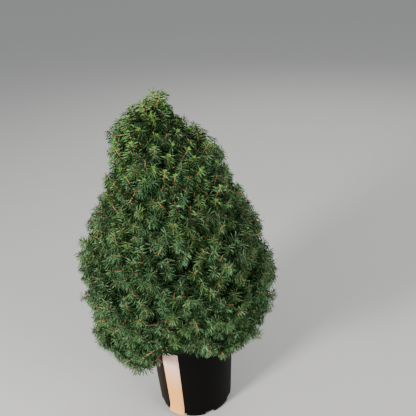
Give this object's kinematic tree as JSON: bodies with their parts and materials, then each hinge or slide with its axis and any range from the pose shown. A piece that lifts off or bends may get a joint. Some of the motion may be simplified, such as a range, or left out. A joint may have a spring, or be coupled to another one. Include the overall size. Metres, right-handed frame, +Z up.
{
  "type": "potted dwarf alberta spruce",
  "caption": "Dense, egg-shaped dwarf conifer in a tapered black nursery pot with a bare paper label strip; the whole plant stands on the pot's flat underside.",
  "frame": {"origin": "centre of the pot's flat underside", "axes": "+Z up through the pot to the tip, -Y towards the side that the picture shows, +X to the viewer's right"},
  "size_m": [0.3404, 0.3283, 0.595],
  "materials": {
    "pot": "satin",
    "soil": "matte",
    "label": "matte",
    "bark": "matte",
    "needles": "matte"
  },
  "bodies": {
    "root": {"pot": "pot", "soil": "soil", "label_strip": "label", "trunk": "bark", "bough_hem_1": "bark", "bough_hem_2": "bark", "bough_hem_3": "bark", "bough_hem_4": "bark", "bough_hem_5": "bark", "bough_hem_6": "bark", "bough_belt_1": "bark", "bough_belt_2": "bark", "bough_belt_3": "bark", "bough_belt_4": "bark", "bough_belt_5": "bark", "bough_belt_6": "bark", "bough_middle_1": "bark", "bough_middle_2": "bark", "bough_middle_3": "bark", "bough_middle_4": "bark", "bough_middle_5": "bark", "bough_shoulder_1": "bark", "bough_shoulder_2": "bark", "bough_shoulder_3": "bark", "bough_shoulder_4": "bark", "bough_neck_1": "bark", "bough_neck_2": "bark", "bough_neck_3": "bark", "foliage_hem_1": "needles", "foliage_hem_2": "needles", "foliage_hem_3": "needles", "foliage_hem_4": "needles", "foliage_hem_5": "needles", "foliage_hem_6": "needles", "foliage_belt_1": "needles", "foliage_belt_2": "needles", "foliage_belt_3": "needles", "foliage_belt_4": "needles", "foliage_belt_5": "needles", "foliage_belt_6": "needles", "foliage_middle_1": "needles", "foliage_middle_2": "needles", "foliage_middle_3": "needles", "foliage_middle_4": "needles", "foliage_middle_5": "needles", "foliage_shoulder_1": "needles", "foliage_shoulder_2": "needles", "foliage_shoulder_3": "needles", "foliage_shoulder_4": "needles", "foliage_neck_1": "needles", "foliage_neck_2": "needles", "foliage_neck_3": "needles", "foliage_tip": "needles"}
  },
  "joints": []
}
